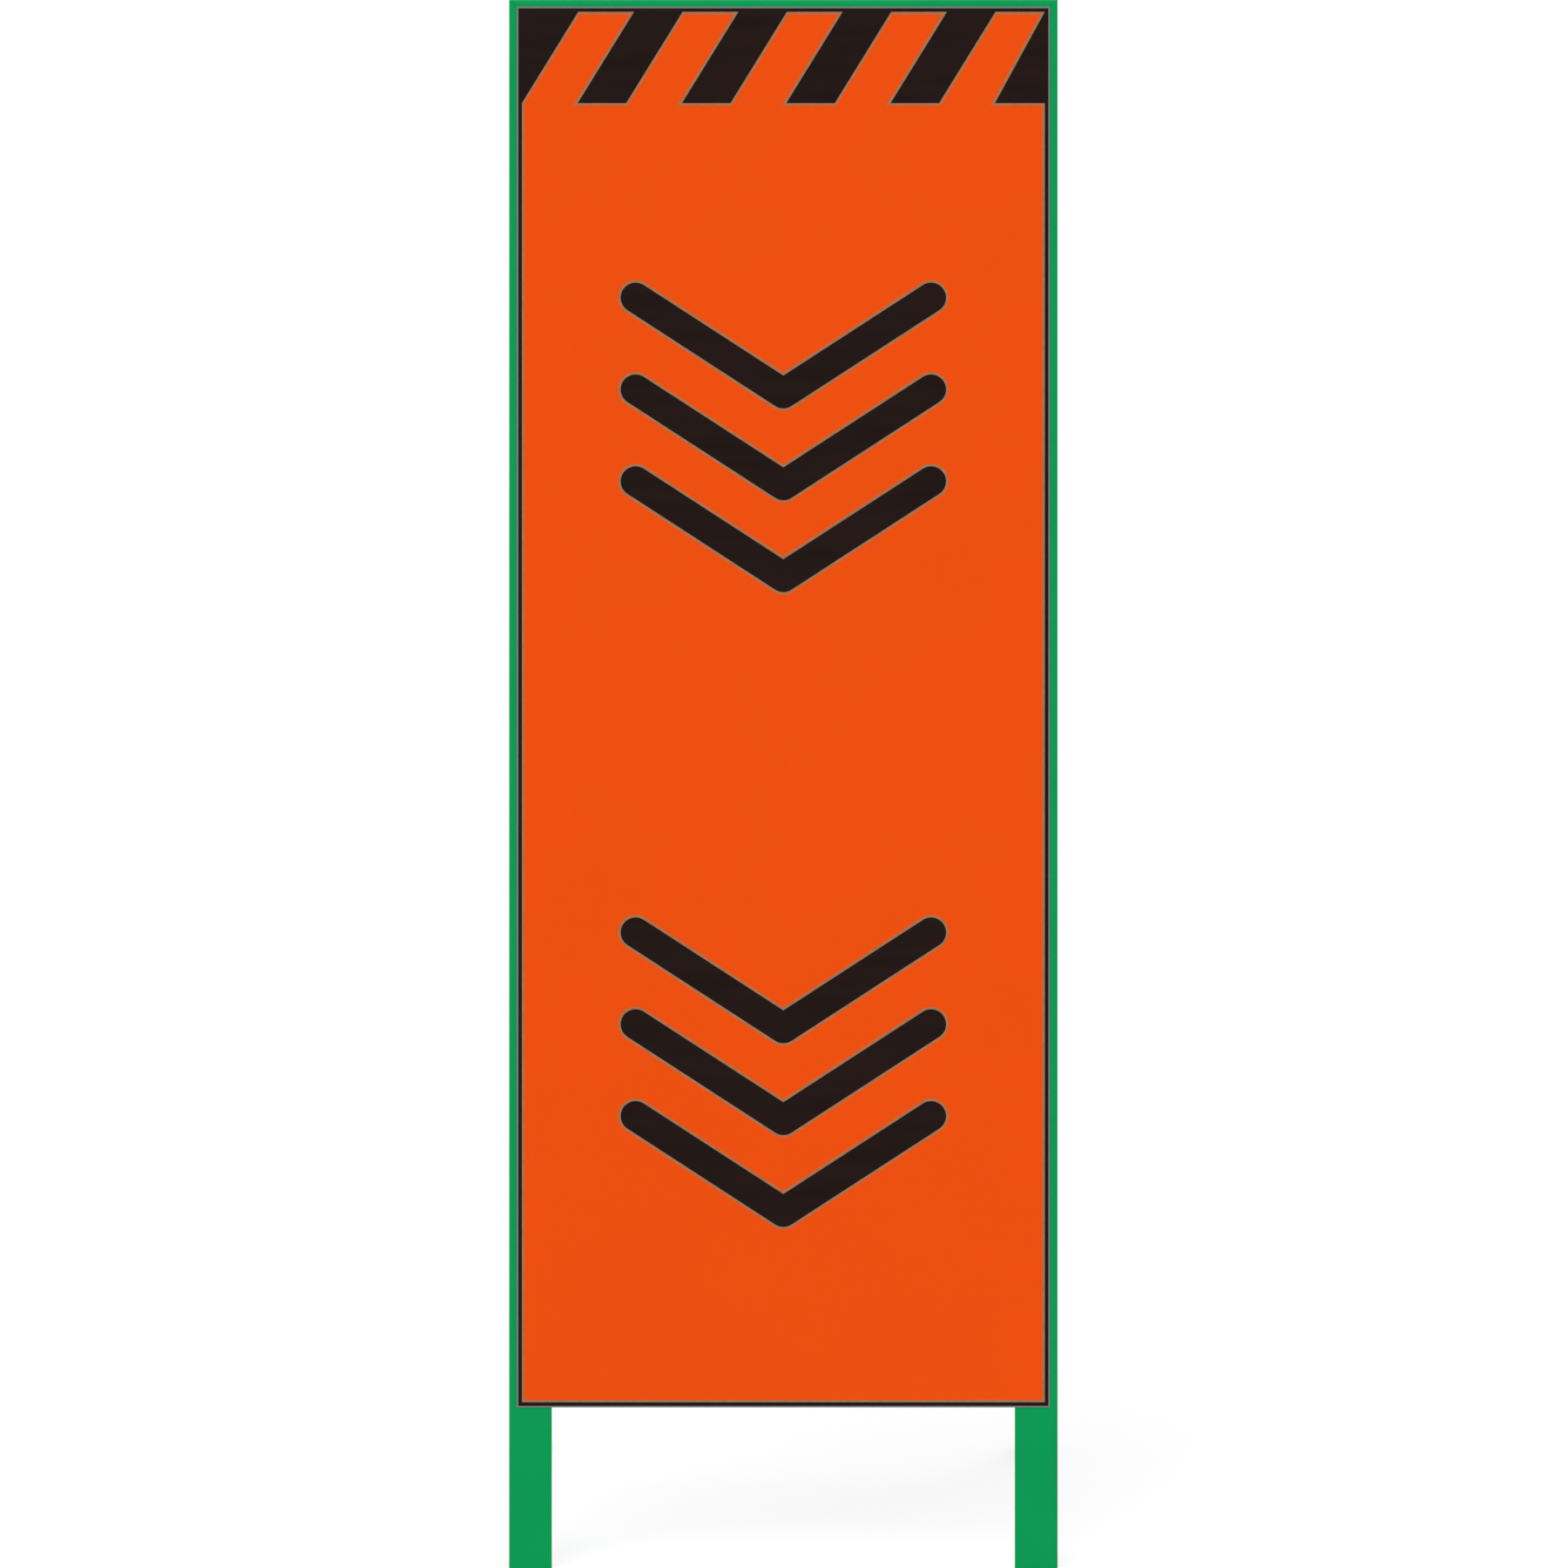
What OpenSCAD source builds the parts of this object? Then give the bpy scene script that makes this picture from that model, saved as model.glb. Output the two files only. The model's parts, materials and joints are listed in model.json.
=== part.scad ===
// Portable roadworks sign board.
// A sheet steel panel with orange reflective sheeting is held on a frame of steel angle.
// The frame leans back on a rear prop, which folds flat inside the two uprights.
// Seen from the front, X runs to the right, Y runs backwards and Z runs up.
// The origin is on the ground, in the middle of the sign's footprint.

/* [Frame] */
// Outer width of the frame
frame_w = 550; // [480:5:700]
// Length of the uprights, along the leaning board
upright_len = 1573; // [1540:1:1700]
// Width of the frame angle's flange that faces the front
face_flange = 43; // [38:0.5:50]
// Depth of the frame angle's flange that points back
side_flange = 40; // [38:0.5:50]
// Thickness of the frame angle
frame_t = 2.3; // [2:0.1:3.2]
// Radius inside the bend of every angle
bend_r = 2; // [1.5:0.1:2.4]
// How far the board leans back from upright
lean_angle = 10; // [7:0.5:12]

/* [Cross rails] */
// Width of both flanges of a cross rail
rail_flange = 25; // [20:0.5:26]
// Thickness of a cross rail
rail_t = 2.3; // [1.6:0.1:3.2]
// Height of the bottom rail above the panel's lower edge
bottom_rail_rise = 6; // [2:1:20]
// Length of a rail's ledge that laps behind each upright's face
rail_lap = 10; // [4:0.5:10]

/* [Panel] */
// Strip of frame that shows beside the panel
side_margin = 7.8; // [5:0.2:12]
// Strip of frame that shows above the panel
top_margin = 7.6; // [5:0.2:12]
// Height of the panel
panel_h = 1403.6; // [1350:0.1:1412]
// Thickness of the steel sheet
panel_t = 0.8; // [0.6:0.1:1.2]
// Bare edge of steel left round the sheeting
bare_edge = 1.8; // [0.5:0.1:3]
// Thickness of the orange sheeting
sheeting_t = 0.4; // [0.3:0.1:0.8]
// Thickness of the pale film between the sheeting and the black film
keyline_t = 0.1; // [0.1:0.05:0.3]
// Width of the pale line that this film shows along every black edge
keyline_w = 2.4; // [1:0.1:4]
// Thickness of the black film
film_t = 0.2; // [0.15:0.05:0.4]

/* [Warning band] */
// Width of the black border
border_w = 3.4; // [2:0.2:8]
// Height of the striped band at the top
band_h = 91.5; // [60:0.5:140]
// Number of orange stripes in the band
stripe_count = 5; // [3:1:8]
// Width of a black stripe
black_stripe_w = 48.5; // [30:0.5:60]
// Width of the black corner at the right-hand end of the band
black_corner_w = 50; // [30:0.5:60]
// Slant of the stripes from upright
stripe_slant = 31.7; // [15:0.1:45]

/* [Chevrons] */
// Number of chevrons in each of the two groups
chevron_count = 3; // [1:1:4]
// Width of a chevron over its round ends
chevron_w = 326; // [200:2:400]
// Drop from a chevron's ends to its point
chevron_drop = 96; // [60:1:120]
// Width of the stroke
stroke_w = 30; // [16:1:36]
// Distance from one chevron to the next
chevron_pitch = 92; // [70:1:110]
// Height of the upper group's middle above the panel's lower edge
upper_group_h = 972; // [900:1:1050]
// Height of the lower group's middle above the panel's lower edge
lower_group_h = 336; // [300:1:450]

/* [Rear prop] */
// Angle between the board and the open prop
prop_angle = 20; // [14:0.5:20]
// Distance from the uprights' lower ends up to the pivots
pivot_h = 1300; // [1150:5:1400]
// Width of both flanges of a prop arm
arm_flange = 25; // [25:0.5:26]
// Thickness of a prop arm
arm_t = 2.3; // [1.6:0.1:2.6]
// Length of the flat at an arm's upper end, which bears on the frame as the stop
stop_land = 8; // [4:0.5:12]
// Gap left between an open arm and its stop
stop_gap = 0.3; // [0.2:0.05:0.6]
// Width of the two flat bars that join the arms
bar_w = 32; // [25:1:40]
// Thickness of the flat bars
bar_t = 3; // [2.3:0.1:4.5]
// Height of the lower bar above the arms' feet
lower_bar_h = 210; // [180:5:400]
// Distance from the pivots down to the upper bar
upper_bar_drop = 160; // [100:5:300]

/* [Pivots] */
// Depth of the pivots behind the frame's front face
pivot_depth = 22; // [20:0.5:24]
// Diameter of the welded pivot studs
pivot_d = 8; // [6:0.5:9]
// Radial play of an arm on its stud
pivot_play = 0.1; // [0.05:0.01:0.1]
// Thickness of the spacer between frame and arm
spacer_t = 2; // [1.6:0.1:3]
// Diameter of the spacers and washers
washer_d = 15.5; // [14:0.5:16]
// Thickness of a pivot washer
washer_t = 1.6; // [1:0.1:2]
// Play beside an arm, on each of its two sides
side_play = 0.15; // [0.1:0.05:0.3]
// Width across the flats of a pivot lock nut
pivot_nut_af = 13; // [12:0.5:14]
// Height of a pivot lock nut
pivot_nut_h = 8; // [6:0.5:9]
// Length of stud that shows past a nut
stud_end = 1.5; // [1:0.1:3]

/* [Panel fixings] */
// Diameter of the studs welded to the back of the panel
panel_stud_d = 5; // [4:0.5:6]
// Clearance of a stud in its hole, all round
hole_clearance = 0.5; // [0.25:0.05:0.5]
// Studs along each upright between two neighbouring rails
studs_per_bay = 1; // [1:1:3]
// Studs along each rail
studs_per_rail = 2; // [2:1:4]
// Distance from a flange's free edge to its row of studs
stud_edge = 6.5; // [6.2:0.1:6.5]
// Distance from the panel's upper and lower edges to the outermost studs of an upright
stud_end_dist = 60; // [54:1:90]
// Width across the flats of a panel nut
panel_nut_af = 8; // [7:0.5:9]
// Height of a panel nut
panel_nut_h = 4.5; // [4:0.5:5]
// Diameter of the flange under a panel nut
nut_flange_d = 11.8; // [11:0.1:12]
// Thickness of the flange under a panel nut
nut_flange_t = 1.2; // [1:0.1:1.6]

/* [Hidden] */
$fn = 64;
hex_sides = 6;
thread_gap = 0.05;
drill_past = 1;
cut_margin = 60;

side_x = frame_w / 2;
side_inner_x = side_x - frame_t;
face_inner_x = side_x - face_flange;

panel_w = frame_w - 2 * side_margin;
panel_top = upright_len - top_margin;
panel_bottom = panel_top - panel_h;
sheeting_face = -panel_t - sheeting_t;
keyline_face = sheeting_face - keyline_t;
film_face = keyline_face - film_t;

film_w = panel_w - 2 * bare_edge;
film_bottom = panel_bottom + bare_edge;
film_top = panel_top - bare_edge;
field_x = film_w / 2 - border_w;
field_bottom = film_bottom + border_w;
field_top = film_top - border_w;
band_bottom = field_top - band_h;
stripe_pitch = (2 * field_x + black_stripe_w - black_corner_w) / stripe_count;
stripe_shift = band_h * tan(stripe_slant);

// The bottom rail, the lower cross rail and the upper cross rail, evenly spaced below the top rail
rail_count = 3;
rail_len = 2 * face_inner_x;
bottom_rail_top = panel_bottom + bottom_rail_rise + rail_flange;
top_rail_lower_edge = upright_len - face_flange;
rail_step = (top_rail_lower_edge - bottom_rail_top) / rail_count;
rail_tops = [for (i = [0 : rail_count - 1]) bottom_rail_top + i * rail_step];

upright_stud_x = face_inner_x + stud_edge;
bay_stud_step = rail_step / (studs_per_bay + 1);
bay_stud_heights = [for (top = rail_tops) for (i = [1 : studs_per_bay]) top + i * bay_stud_step];
upright_stud_heights = concat([panel_bottom + stud_end_dist, panel_top - stud_end_dist], bay_stud_heights);
rail_stud_xs = [for (i = [1 : studs_per_rail]) rail_len * (i / (studs_per_rail + 1) - 0.5)];
panel_hole_d = panel_stud_d + 2 * hole_clearance;
panel_stud_past = nut_flange_t + panel_nut_h + stud_end;

arm_outer_x = side_inner_x - spacer_t - side_play;
arm_inner_x = arm_outer_x - arm_t;
arm_back = arm_flange / 2;
washer_outer_x = arm_inner_x - side_play;
nut_outer_x = washer_outer_x - washer_t;
pivot_stud_len = side_inner_x - nut_outer_x + pivot_nut_h + stud_end;
bar_end_gap = 1;
bar_half_len = arm_inner_x - bend_r - bar_end_gap;

// An open arm reaches up from its pivot to where its front edge meets the stop, and on by the flat
stop_depth = frame_t + stop_gap;
stop_reach = (pivot_depth - arm_back * cos(prop_angle) - stop_depth) / sin(prop_angle);
arm_tail = stop_reach + stop_land * cos(prop_angle);

// How far the open arms stand off upright, and where they meet the ground
foot_angle = prop_angle - lean_angle;
pivot_z = pivot_h * cos(lean_angle) - pivot_depth * sin(lean_angle);
pivot_y = pivot_h * sin(lean_angle) + pivot_depth * cos(lean_angle);
arm_reach = pivot_z / cos(foot_angle);
foot_back_y = pivot_y + pivot_z * tan(foot_angle) + arm_back / cos(foot_angle);
top_back_y = upright_len * sin(lean_angle) + side_flange * cos(lean_angle);
footprint = max(foot_back_y, top_back_y);

paint = "#009753";
orange = "#EA4F0C";
black = "#241A17";
pale = "#9E775A";
galvanised = "#A9ADAE";
zinc = "#C3C5C4";

// Places shapes drawn against the upright board onto the leaning one
module on_board() {
    translate([0, -footprint / 2, 0]) rotate([-lean_angle, 0, 0]) children();
}

// Places shapes drawn round the pivot line, with the arms hanging down, onto the open prop
module on_prop() {
    on_board() translate([0, pivot_depth, pivot_h]) rotate([prop_angle, 0, 0]) children();
}

// Draws a shape made for the right-hand side on either side
module at_side(side) {
    mirror([side < 0 ? 1 : 0, 0, 0]) children();
}

// Everything below the ground, to trim the feet so that they stand flat
module below_ground() {
    reach = 4 * upright_len;
    translate([-reach / 2, -reach / 2, -reach]) cube(reach);
}

// Rectangle from the origin, whose corner there is round
module one_round_corner(w, h, r) {
    translate([r, 0]) square([w - r, h]);
    translate([0, r]) square([w, h - r]);
    translate([r, r]) circle(r);
}

// Cross-section of a steel angle: its outer corner is at the origin, its flanges run along X and Y
module angle_section(x_flange, y_flange, t) {
    difference() {
        one_round_corner(x_flange, y_flange, bend_r + t);
        translate([t, t]) one_round_corner(x_flange, y_flange, bend_r);
    }
}

// A flat shape of the board's face, seen from the front, made into a plate that starts at depth front
module face_plate(front, t) {
    translate([0, front + t, 0]) rotate([90, 0, 0]) linear_extrude(t) children();
}

// The mitred top of the frame: what lies above both 45 degree joints
module top_corner_wedge() {
    run = frame_w / 3;
    face_plate(-cut_margin, 2 * cut_margin + side_flange) polygon([
        [-side_x - cut_margin, upright_len + cut_margin],
        [-side_x + run, upright_len - run],
        [side_x - run, upright_len - run],
        [side_x + cut_margin, upright_len + cut_margin]
    ]);
}

// Holes through the frame's face for a row of panel studs
module stud_holes(xs, heights) {
    for (x = xs) for (h = heights) {
        translate([x, -drill_past, h]) rotate([-90, 0, 0])
            cylinder(d = panel_hole_d, h = max(frame_t, rail_t) + 2 * drill_past);
    }
}

module upright(side) {
    color(paint) difference() {
        on_board() at_side(side) difference() {
            translate([side_x, 0, -cut_margin]) mirror([1, 0, 0])
                linear_extrude(upright_len + cut_margin) angle_section(face_flange, side_flange, frame_t);
            top_corner_wedge();
            stud_holes([upright_stud_x], upright_stud_heights);
        }
        below_ground();
    }
}

// A steel angle that lies across the board: its face hangs from height top, its ledge points back
module cross_angle(len, top, face, ledge, t) {
    translate([-len / 2, 0, top]) rotate([0, 90, 0]) linear_extrude(len) angle_section(face, ledge, t);
}

module top_rail() {
    color(paint) on_board() difference() {
        intersection() {
            cross_angle(frame_w, upright_len, face_flange, side_flange, frame_t);
            top_corner_wedge();
        }
        stud_holes(rail_stud_xs, [top_rail_lower_edge + stud_edge]);
    }
}

// The face of a cross rail and its bend end at the uprights' faces. Only the flat ledge laps behind them
module cross_rail(top) {
    past = rail_flange + drill_past;
    color(paint) on_board() difference() {
        cross_angle(rail_len + 2 * rail_lap, top, rail_flange, rail_flange, rail_t);
        for (side = [-1, 1]) at_side(side) translate([rail_len / 2, 0, top - past]) {
            translate([0, frame_t - cut_margin, 0]) cube([cut_margin, cut_margin, past + drill_past]);
            cube([cut_margin, past, past - rail_t]);
        }
        stud_holes(rail_stud_xs, [top - rail_flange + stud_edge]);
    }
}

module rectangle_on_face(half_w, bottom, top) {
    translate([-half_w, bottom]) square([2 * half_w, top - bottom]);
}

module sign_panel() {
    color(galvanised) on_board() face_plate(-panel_t, panel_t)
        rectangle_on_face(panel_w / 2, panel_bottom, panel_top);
}

module orange_sheeting() {
    color(orange) on_board() face_plate(sheeting_face, sheeting_t)
        rectangle_on_face(film_w / 2, film_bottom, film_top);
}

// A line of the band that runs from bottom_x up to top_x, moved sideways by inset across its own width
function slanted_x(bottom_x, top_x, inset, y) =
    let (run = (top_x - bottom_x) / band_h)
    bottom_x + run * (y - band_bottom) + inset * sqrt(1 + run * run);

// The part of the sheeting that the border and stripes leave bare, made smaller by inset all round
module bare_field(inset) {
    low = band_bottom - inset;
    high = field_top - inset;
    rectangle_on_face(field_x - inset, field_bottom + inset, low);
    intersection() {
        rectangle_on_face(field_x - inset, field_bottom + inset, high);
        for (i = [0 : stripe_count - 1]) {
            left = -field_x + i * stripe_pitch;
            right = left + stripe_pitch - black_stripe_w;
            top_left = min(left + stripe_shift, field_x);
            top_right = min(right + stripe_shift, field_x);
            polygon([
                [slanted_x(left, top_left, inset, low), low],
                [slanted_x(right, top_right, -inset, low), low],
                [slanted_x(right, top_right, -inset, high), high],
                [slanted_x(left, top_left, inset, high), high]
            ]);
        }
    }
}

module band_and_border(inset) {
    difference() {
        rectangle_on_face(film_w / 2, film_bottom, film_top);
        bare_field(inset);
    }
}

// A stroke with round ends from the origin to point
module stroke(point, w) {
    len = norm(point);
    rotate(atan2(point[1], point[0])) {
        translate([0, -w / 2]) square([len, w]);
        translate([len, 0]) circle(d = w);
    }
    circle(d = w);
}

// A group of chevrons that point down, round height middle above the panel's lower edge
module chevron_group(middle, w) {
    reach = (chevron_w - stroke_w) / 2;
    lowest = panel_bottom + middle - ((chevron_count - 1) * chevron_pitch + chevron_drop) / 2;
    for (i = [0 : chevron_count - 1]) translate([0, lowest + i * chevron_pitch]) {
        stroke([reach, chevron_drop], w);
        stroke([-reach, chevron_drop], w);
    }
}

module border_and_stripes() {
    color(black) on_board() face_plate(film_face, film_t) band_and_border(0);
}

module black_chevrons(middle) {
    color(black) on_board() face_plate(film_face, film_t) chevron_group(middle, stroke_w);
}

// The pale film lies under all of the black film and shows past it by the keyline's width
module keyline_film() {
    color(pale) on_board() face_plate(keyline_face, keyline_t) {
        band_and_border(keyline_w);
        for (middle = [lower_group_h, upper_group_h]) chevron_group(middle, stroke_w + 2 * keyline_w);
    }
}

// Every place where a stud goes through the uprights or the top rail, for shapes drawn along +Z
module at_frame_studs() {
    for (side = [-1, 1]) for (h = upright_stud_heights) {
        translate([side * upright_stud_x, 0, h]) rotate([-90, 0, 0]) children();
    }
    for (x = rail_stud_xs) translate([x, 0, top_rail_lower_edge + stud_edge]) rotate([-90, 0, 0]) children();
}

// Every place where a stud goes through a cross rail, for shapes drawn along +Z
module at_cross_rail_studs() {
    for (x = rail_stud_xs) for (top = rail_tops) {
        translate([x, 0, top - rail_flange + stud_edge]) rotate([-90, 0, 0]) children();
    }
}

module panel_studs() {
    color(zinc) on_board() {
        at_frame_studs() cylinder(d = panel_stud_d, h = frame_t + panel_stud_past);
        at_cross_rail_studs() cylinder(d = panel_stud_d, h = rail_t + panel_stud_past);
    }
}

module hex_prism(across_flats, h) {
    cylinder(d = across_flats / cos(180 / hex_sides), h = h, $fn = hex_sides);
}

// A round drill that runs past both ends of what stands on z = 0 with height h
module drill(d, h) {
    translate([0, 0, -drill_past]) cylinder(d = d, h = h + 2 * drill_past);
}

module flange_nut() {
    difference() {
        union() {
            cylinder(d = nut_flange_d, h = nut_flange_t);
            translate([0, 0, nut_flange_t]) hex_prism(panel_nut_af, panel_nut_h);
        }
        drill(panel_stud_d + 2 * thread_gap, nut_flange_t + panel_nut_h);
    }
}

module panel_flange_nuts() {
    color(zinc) on_board() {
        at_frame_studs() translate([0, 0, frame_t]) flange_nut();
        at_cross_rail_studs() translate([0, 0, rail_t]) flange_nut();
    }
}

// Draws a shape made along +Z so that it runs inwards from x on the pivot line
module on_pivot(side, x) {
    on_board() at_side(side) translate([x, pivot_depth, pivot_h]) rotate([0, -90, 0]) children();
}

module pivot_stud(side) {
    color(zinc) on_pivot(side, side_inner_x) cylinder(d = pivot_d, h = pivot_stud_len);
}

// A ring that slides over the pivot stud
module pivot_ring(side, x, t) {
    color(zinc) on_pivot(side, x) difference() {
        cylinder(d = washer_d, h = t);
        drill(pivot_d + 2 * pivot_play, t);
    }
}

module lock_nut(side) {
    color(zinc) on_pivot(side, nut_outer_x) difference() {
        hex_prism(pivot_nut_af, pivot_nut_h);
        drill(pivot_d + 2 * thread_gap, pivot_nut_h);
    }
}

// What lies in front of the stop, which is the back of the upright's face
module in_front_of_stop() {
    on_board() translate([-frame_w, stop_depth - cut_margin, 0]) cube([2 * frame_w, cut_margin, upright_len]);
}

module prop_arm(side) {
    color(paint) difference() {
        on_prop() at_side(side) difference() {
            translate([arm_outer_x, arm_back, -arm_reach - cut_margin])
                rotate([0, 0, 180]) linear_extrude(arm_reach + cut_margin + arm_tail)
                    angle_section(arm_flange, arm_flange, arm_t);
            translate([arm_outer_x, 0, 0]) rotate([0, -90, 0]) drill(pivot_d + 2 * pivot_play, arm_t);
        }
        below_ground();
        in_front_of_stop();
    }
}

// A flat bar that joins the arms, lapped in front of their rear flanges; its middle is at height h
module prop_bar(h) {
    color(paint) on_prop() translate([-bar_half_len, arm_back - arm_t - bar_t, h - bar_w / 2])
        cube([2 * bar_half_len, bar_t, bar_w]);
}

upright(-1);  // left_upright
upright(1);  // right_upright
top_rail();
cross_rail(rail_tops[2]);  // upper_cross_rail
cross_rail(rail_tops[1]);  // lower_cross_rail
cross_rail(rail_tops[0]);  // bottom_rail
sign_panel();
orange_sheeting();
keyline_film();
border_and_stripes();
black_chevrons(upper_group_h);  // upper_chevrons
black_chevrons(lower_group_h);  // lower_chevrons
panel_studs();
panel_flange_nuts();
pivot_stud(-1);  // left_pivot_stud
pivot_stud(1);  // right_pivot_stud
pivot_ring(-1, side_inner_x, spacer_t);  // left_pivot_spacer
pivot_ring(1, side_inner_x, spacer_t);  // right_pivot_spacer
pivot_ring(-1, washer_outer_x, washer_t);  // left_pivot_washer
pivot_ring(1, washer_outer_x, washer_t);  // right_pivot_washer
lock_nut(-1);  // left_lock_nut
lock_nut(1);  // right_lock_nut
prop_arm(-1);  // left_prop_arm
prop_arm(1);  // right_prop_arm
prop_bar(-upper_bar_drop);  // prop_upper_bar
prop_bar(lower_bar_h - arm_reach);  // prop_lower_bar
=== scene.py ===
import json
import math

import bpy
from mathutils import Matrix, Vector


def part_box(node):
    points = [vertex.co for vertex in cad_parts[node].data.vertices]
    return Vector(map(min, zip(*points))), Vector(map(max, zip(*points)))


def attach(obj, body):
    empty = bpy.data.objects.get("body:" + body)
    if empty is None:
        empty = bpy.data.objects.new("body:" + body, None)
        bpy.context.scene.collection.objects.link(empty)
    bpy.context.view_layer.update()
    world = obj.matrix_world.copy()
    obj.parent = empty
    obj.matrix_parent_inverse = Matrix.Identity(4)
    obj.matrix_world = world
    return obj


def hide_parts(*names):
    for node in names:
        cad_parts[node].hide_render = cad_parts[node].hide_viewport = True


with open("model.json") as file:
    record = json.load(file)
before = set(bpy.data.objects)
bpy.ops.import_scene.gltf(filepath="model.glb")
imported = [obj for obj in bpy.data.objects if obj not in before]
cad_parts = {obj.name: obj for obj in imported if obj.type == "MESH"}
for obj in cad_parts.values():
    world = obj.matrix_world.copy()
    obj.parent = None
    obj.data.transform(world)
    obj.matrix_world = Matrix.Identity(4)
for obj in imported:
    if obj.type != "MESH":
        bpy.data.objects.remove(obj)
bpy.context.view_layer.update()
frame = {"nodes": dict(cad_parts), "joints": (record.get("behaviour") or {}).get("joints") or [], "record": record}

# The sign board's looks: enamel, reflective sheeting, films and bare metal as node materials,
# and welds, threads and nuts in mesh code.
# Lengths are in millimetres, and in metres where a name ends in _M.
# Board coordinates: x to the right, u back from the frame's front face, v up along the board.
# Prop coordinates are the same round the pivot line, along the open prop.

MM = 0.001
LEAN = math.radians(10)  # of the board, from upright
PROP_ANGLE = math.radians(20)  # between the board and the open prop

# The steel's thickness and the radius inside its bends, and the threads of the M5 and M8 studs
FRAME_T = 2.3
BEND_R = 2.0
STUD_PITCH = 0.8
PIVOT_PITCH = 1.25

# Height of the photograph's frame along the board, just inside the board's ends,
# and how far the board's middle lies left of the photograph's
PHOTO_MM = 1571.2
PHOTO_CENTRE_X = 0.66
LENS = 200
SENSOR_WIDTH = 36
CLIP_END_M = 200

# Light that the white surround throws on the object
WORLD_LEVEL = 0.66

# The floor as the camera sees it is part shaded and part glowing, so that only a shadow is below white
FLOOR_REACH_M = 90
FLOOR_BOUNCE = 0.8
FLOOR_SHADE = 0.30
FLOOR_GLOW = 0.72

# Name: azimuth and elevation in degrees, strength, and angular width in degrees.
# Azimuth 0 is in front of the board, and 90 on its right.
LAMPS = {
    "key": (-35, 48, 1.20, 45),
    "fill": (55, 30, 0.25, 60),
    "back": (160, 40, 0.95, 50),
}

# Linear colours, a little below the photograph's to leave room for the gloss
GREEN = (0.0, 0.300, 0.080)
PRIMER = (0.16, 0.15, 0.14)
ORANGE = (0.800, 0.072, 0.001)
ORANGE_SEAL = (0.87, 0.105, 0.008)
BLACK = (0.0115, 0.0050, 0.0040)
PALE = (0.335, 0.163, 0.080)
EDGE_SEALER = (0.150, 0.170, 0.160)
ZINC_DULL = (0.31, 0.33, 0.33)
ZINC_BLOOM = (0.36, 0.37, 0.37)
ZINC_BRIGHT = (0.62, 0.64, 0.65)
ZINC_YELLOW_CAST = (0.60, 0.61, 0.58)
ZINC_BLUE_CAST = (0.56, 0.60, 0.66)
NYLON = (0.62, 0.66, 0.68)

# Most of a noise's values lie between these
NOISE_LOW = 0.3
NOISE_HIGH = 0.7

CHIP_HEIGHT = 12  # paint chips reach this high up the feet
SEAL_CELL = 3.4  # width of a cell in the sheeting's honeycomb
CELLS_ASIDE = 600.0  # more cells than the board has, so that no place in the honeycomb is negative
SPANGLES_PER_M = 85.0

# How far each node's sharp edges are rounded.
# The cross rails aren't listed: they keep the square edges of the shears that cut them.
EDGE_ROUND = {
    "left_upright": 0.25, "right_upright": 0.25, "top_rail": 0.25,
    "left_prop_arm": 0.4, "right_prop_arm": 0.4,
    "prop_upper_bar": 0.5, "prop_lower_bar": 0.5,
    "sign_panel": 0.2,
    "left_pivot_spacer": 0.3, "right_pivot_spacer": 0.3,
    "left_pivot_washer": 0.4, "right_pivot_washer": 0.4,
}
SHARP_TURN = math.radians(70)
FLAT_TURN = math.radians(0.5)
SAME_POINT_M = 0.00001

# Faces of new pieces that meet at a smaller angle are shaded as one
SMOOTH_TURN = math.radians(38)

# How far each kind of weld reaches in its section's two directions, or in both alike
MITRE_SEAM = (2.6, 0.9)
MITRE_FILLET = 3.0
BUTT_SEAM = (2.4, 0.8)
BAR_FILLET = (2.3, 2.2)
LAP_FILLET = 2.6

QUARTER_TURN = math.pi / 2
HALF_TURN = math.pi


# Places read from the frame

FRONT_FOOT_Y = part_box("right_upright")[0][1]
BOARD = (Matrix.Translation((0, FRONT_FOOT_Y, 0))
         @ Matrix.Rotation(-LEAN, 4, "X") @ Matrix.Scale(MM, 4))
PROP = (Matrix.Translation(Vector(frame["joints"][0]["pos_m"]))
        @ Matrix.Rotation(PROP_ANGLE - LEAN, 4, "X") @ Matrix.Scale(MM, 4))
TO_BOARD = BOARD.inverted()
TO_PROP = PROP.inverted()


def points_in(node, inverse):
    return [inverse @ v.co for v in frame["nodes"][node].data.vertices]


def box_in(node, inverse):
    """Lowest and highest corner of a node, in board or prop coordinates."""
    points = points_in(node, inverse)
    low = Vector(tuple(min(p[i] for p in points) for i in range(3)))
    high = Vector(tuple(max(p[i] for p in points) for i in range(3)))
    return low, high


def solid_boxes(node, inverse, reach=15.0):
    """The boxes of a node's separate small solids, which lie further apart than reach."""
    boxes = []
    for p in points_in(node, inverse):
        for low, high in boxes:
            if all(low[i] - reach <= p[i] <= high[i] + reach for i in range(3)):
                for i in range(3):
                    low[i] = min(low[i], p[i])
                    high[i] = max(high[i], p[i])
                break
        else:
            boxes.append((p.copy(), p.copy()))
    return boxes


# Materials

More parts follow.
